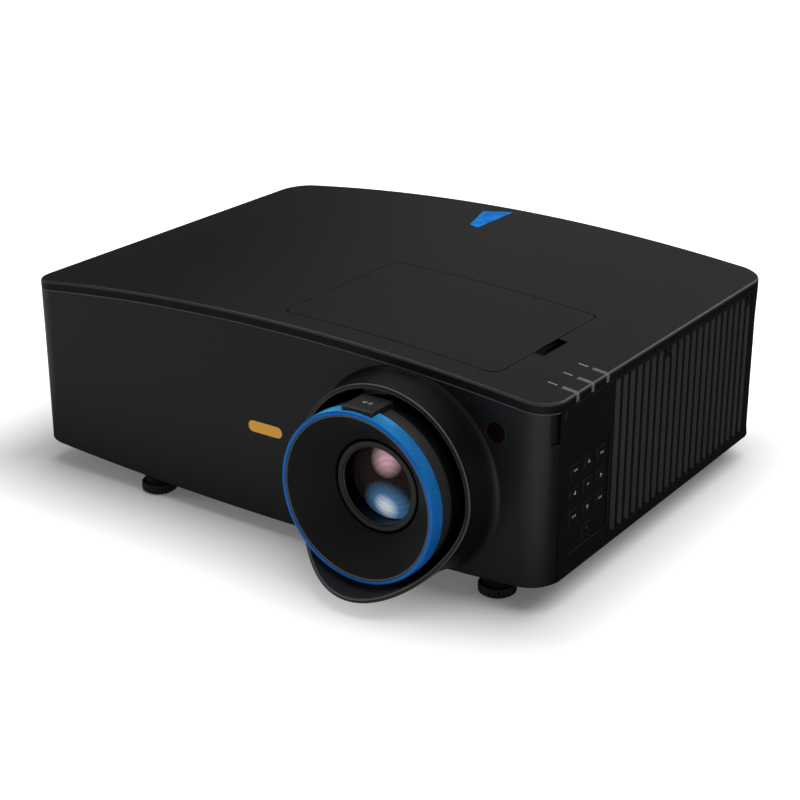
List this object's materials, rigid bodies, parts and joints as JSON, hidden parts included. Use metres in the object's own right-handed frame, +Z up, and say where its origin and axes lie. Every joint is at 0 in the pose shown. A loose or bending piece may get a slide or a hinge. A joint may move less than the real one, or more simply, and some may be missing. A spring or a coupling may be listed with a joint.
{
  "type": "home projector",
  "caption": "Black home projector with an arched casing, an offset zoom lens with a blue focus ring in a chinned collar, side keypad, louvred sides and screw feet.",
  "frame": {"origin": "on the table plane, under the middle of the overall box of casing and chin", "axes": "+X to the keypad side of the casing, -Y towards the screen (lens side), +Z up"},
  "size_m": [0.49, 0.427, 0.1763],
  "materials": {
    "cover_plastic": "fine-textured matte black moulding",
    "side_plastic": "matte black moulding",
    "light_pipe": "grey translucent plastic",
    "ir_filter": "very dark red gloss",
    "key_rubber": "soft-touch black",
    "circuit_board": "green solder mask",
    "lens_black": "satin black",
    "blue_ring": "blue anodised, finely knurled",
    "glass": "coated lens glass",
    "cast_alloy": "cast",
    "steel_rod": "ground",
    "knob_plastic": "black plastic",
    "heatsink_aluminium": "extruded",
    "copper": "bright",
    "laser_brass": "machined",
    "phosphor": "phosphor-coated",
    "motor_steel": "plated sheet",
    "foot_rubber": "rubber"
  },
  "bodies": {
    "casing": {"base_tray": "side_plastic", "top_cover": "cover_plastic", "front_cover": "cover_plastic", "right_side_cover": "side_plastic", "left_side_cover": "side_plastic", "rear_panel": "side_plastic", "connector_plate": "side_plastic", "indicator_light_pipes": "light_pipe", "ir_window": "ir_filter", "keypad_board": "circuit_board", "shift_frame": "cast_alloy", "horizontal_rails": "steel_rod", "light_engine": "cast_alloy", "dmd_board": "circuit_board", "dmd_heatsink": "heatsink_aluminium", "phosphor_motor": "motor_steel", "laser_module": "laser_brass", "laser_heatsink": "heatsink_aluminium", "heat_pipes": "copper", "main_board": "circuit_board", "power_supply": "motor_steel", "ac_inlet": "knob_plastic", "hdmi_sockets": "motor_steel", "lan_socket": "motor_steel", "usb_socket": "motor_steel", "fan_frames": "knob_plastic", "rear_feet": "foot_rubber", "cover_screws": "steel_rod"},
    "door": {"shift_door": "cover_plastic"},
    "horizontal_slide": {"horizontal_carriage": "cast_alloy", "vertical_rails": "steel_rod"},
    "lens_unit": {"vertical_carriage": "cast_alloy", "lens_barrel": "lens_black", "lens_hood": "lens_black"},
    "focus_ring": {"focus_ring": "blue_ring"},
    "focus_cell": {"focus_cell": "lens_black", "front_glass": "glass"},
    "zoom_ring": {"zoom_ring": "lens_black"},
    "zoom_cell": {"zoom_cell": "lens_black", "zoom_glass": "glass"},
    "shift_wheel": {"horizontal_shift_wheel": "knob_plastic"},
    "shift_knob": {"vertical_shift_knob": "knob_plastic"},
    "phosphor_wheel": {"phosphor_wheel": "phosphor"},
    "intake_rotor": {"intake_fan_rotor": "knob_plastic"},
    "exhaust_rotor_a": {"exhaust_fan_rotor_a": "knob_plastic"},
    "exhaust_rotor_b": {"exhaust_fan_rotor_b": "knob_plastic"},
    "left_foot_pad": {"left_foot_pad": "foot_rubber"},
    "left_foot": {"left_foot": "knob_plastic"},
    "right_foot_pad": {"right_foot_pad": "foot_rubber"},
    "right_foot": {"right_foot": "knob_plastic"},
    "key_menu": {"key_menu": "key_rubber"},
    "key_up": {"key_up": "key_rubber"},
    "key_auto": {"key_auto": "key_rubber"},
    "key_left": {"key_left": "key_rubber"},
    "key_ok": {"key_ok": "key_rubber"},
    "key_right": {"key_right": "key_rubber"},
    "key_back": {"key_back": "key_rubber"},
    "key_down": {"key_down": "key_rubber"},
    "key_source": {"key_source": "key_rubber"},
    "key_power": {"key_power": "key_rubber"}
  },
  "joints": [
    {"name": "door_hinge", "type": "hinge", "parent": "casing", "child": "door", "pos_m": [0.0032, -0.045, 0.1748], "axis": [0, -1, 0], "range_deg": [0, 95]},
    {"name": "shift_wheel_turn", "type": "hinge", "parent": "casing", "child": "shift_wheel", "pos_m": [0.0456, -0.0815, 0.1432], "axis": [1, 0, 0], "range_deg": [-1085, 1085]},
    {"name": "horizontal_shift", "type": "slide", "parent": "casing", "child": "horizontal_slide", "axis": [1, 0, 0], "range_m": [-0.003, 0.003]},
    {"name": "shift_knob_turn", "type": "hinge", "parent": "horizontal_slide", "child": "shift_knob", "pos_m": [0.0706, -0.0955, 0.15604], "axis": [0, 0, 1], "range_deg": [-1445, 1445]},
    {"name": "vertical_shift", "type": "slide", "parent": "horizontal_slide", "child": "lens_unit", "axis": [0, 0, 1], "range_m": [-0.004, 0.004]},
    {"name": "focus_turn", "type": "hinge", "parent": "lens_unit", "child": "focus_ring", "pos_m": [0.1256, -0.1995, 0.0857], "axis": [0, -1, 0], "range_deg": [-60.5, 60.5]},
    {"name": "focus_slide", "type": "slide", "parent": "lens_unit", "child": "focus_cell", "axis": [0, -1, 0], "range_m": [-0.002, 0.002]},
    {"name": "zoom_turn", "type": "hinge", "parent": "lens_unit", "child": "zoom_ring", "pos_m": [0.1256, -0.1995, 0.0857], "axis": [0, -1, 0], "range_deg": [-24.5, 24.5]},
    {"name": "zoom_slide", "type": "slide", "parent": "lens_unit", "child": "zoom_cell", "axis": [0, -1, 0], "range_m": [-0.006, 0.006]},
    {"name": "phosphor_spin", "type": "hinge", "parent": "casing", "child": "phosphor_wheel", "pos_m": [0.0326, -0.0455, 0.066], "axis": [0, 1, 0], "continuous": true},
    {"name": "intake_spin", "type": "hinge", "parent": "casing", "child": "intake_rotor", "pos_m": [0.221, 0.0245, 0.076], "axis": [1, 0, 0], "continuous": true},
    {"name": "exhaust_spin_a", "type": "hinge", "parent": "casing", "child": "exhaust_rotor_a", "pos_m": [-0.221, -0.0625, 0.076], "axis": [1, 0, 0], "continuous": true},
    {"name": "exhaust_spin_b", "type": "hinge", "parent": "casing", "child": "exhaust_rotor_b", "pos_m": [-0.221, 0.0455, 0.076], "axis": [1, 0, 0], "continuous": true},
    {"name": "left_foot_height", "type": "slide", "parent": "casing", "child": "left_foot_pad", "axis": [0, 0, -1], "range_m": [-0.0025, 0.012]},
    {"name": "left_foot_turn", "type": "hinge", "parent": "left_foot_pad", "child": "left_foot", "pos_m": [-0.1245, -0.1289, 0.005], "axis": [0, 0, 1], "range_deg": [-605, 2885]},
    {"name": "right_foot_height", "type": "slide", "parent": "casing", "child": "right_foot_pad", "axis": [0, 0, -1], "range_m": [-0.0025, 0.012]},
    {"name": "right_foot_turn", "type": "hinge", "parent": "right_foot_pad", "child": "right_foot", "pos_m": [0.1953, -0.1215, 0.005], "axis": [0, 0, 1], "range_deg": [-605, 2885]},
    {"name": "key_menu_press", "type": "slide", "parent": "casing", "child": "key_menu", "axis": [-1, 0, 0], "range_m": [0, 0.0008], "stiffness_N_per_m": 250, "springref_m": -0.0008},
    {"name": "key_up_press", "type": "slide", "parent": "casing", "child": "key_up", "axis": [-1, 0, 0], "range_m": [0, 0.0008], "stiffness_N_per_m": 250, "springref_m": -0.0008},
    {"name": "key_auto_press", "type": "slide", "parent": "casing", "child": "key_auto", "axis": [-1, 0, 0], "range_m": [0, 0.0008], "stiffness_N_per_m": 250, "springref_m": -0.0008},
    {"name": "key_left_press", "type": "slide", "parent": "casing", "child": "key_left", "axis": [-1, 0, 0], "range_m": [0, 0.0008], "stiffness_N_per_m": 250, "springref_m": -0.0008},
    {"name": "key_ok_press", "type": "slide", "parent": "casing", "child": "key_ok", "axis": [-1, 0, 0], "range_m": [0, 0.0008], "stiffness_N_per_m": 250, "springref_m": -0.0008},
    {"name": "key_right_press", "type": "slide", "parent": "casing", "child": "key_right", "axis": [-1, 0, 0], "range_m": [0, 0.0008], "stiffness_N_per_m": 250, "springref_m": -0.0008},
    {"name": "key_back_press", "type": "slide", "parent": "casing", "child": "key_back", "axis": [-1, 0, 0], "range_m": [0, 0.0008], "stiffness_N_per_m": 250, "springref_m": -0.0008},
    {"name": "key_down_press", "type": "slide", "parent": "casing", "child": "key_down", "axis": [-1, 0, 0], "range_m": [0, 0.0008], "stiffness_N_per_m": 250, "springref_m": -0.0008},
    {"name": "key_source_press", "type": "slide", "parent": "casing", "child": "key_source", "axis": [-1, 0, 0], "range_m": [0, 0.0008], "stiffness_N_per_m": 250, "springref_m": -0.0008},
    {"name": "key_power_press", "type": "slide", "parent": "casing", "child": "key_power", "axis": [-1, 0, 0], "range_m": [0, 0.0008], "stiffness_N_per_m": 250, "springref_m": -0.0008}
  ],
  "couplings": [
    {"joint": "shift_wheel_turn", "follows": "horizontal_shift", "rad_per_m": 6283.2},
    {"joint": "shift_knob_turn", "follows": "vertical_shift", "rad_per_m": 6283.2},
    {"joint": "focus_turn", "follows": "focus_slide", "rad_per_m": 523.6},
    {"joint": "zoom_turn", "follows": "zoom_slide", "rad_per_m": 69.813},
    {"joint": "left_foot_turn", "follows": "left_foot_height", "rad_per_m": 4188.8},
    {"joint": "right_foot_turn", "follows": "right_foot_height", "rad_per_m": 4188.8}
  ]
}
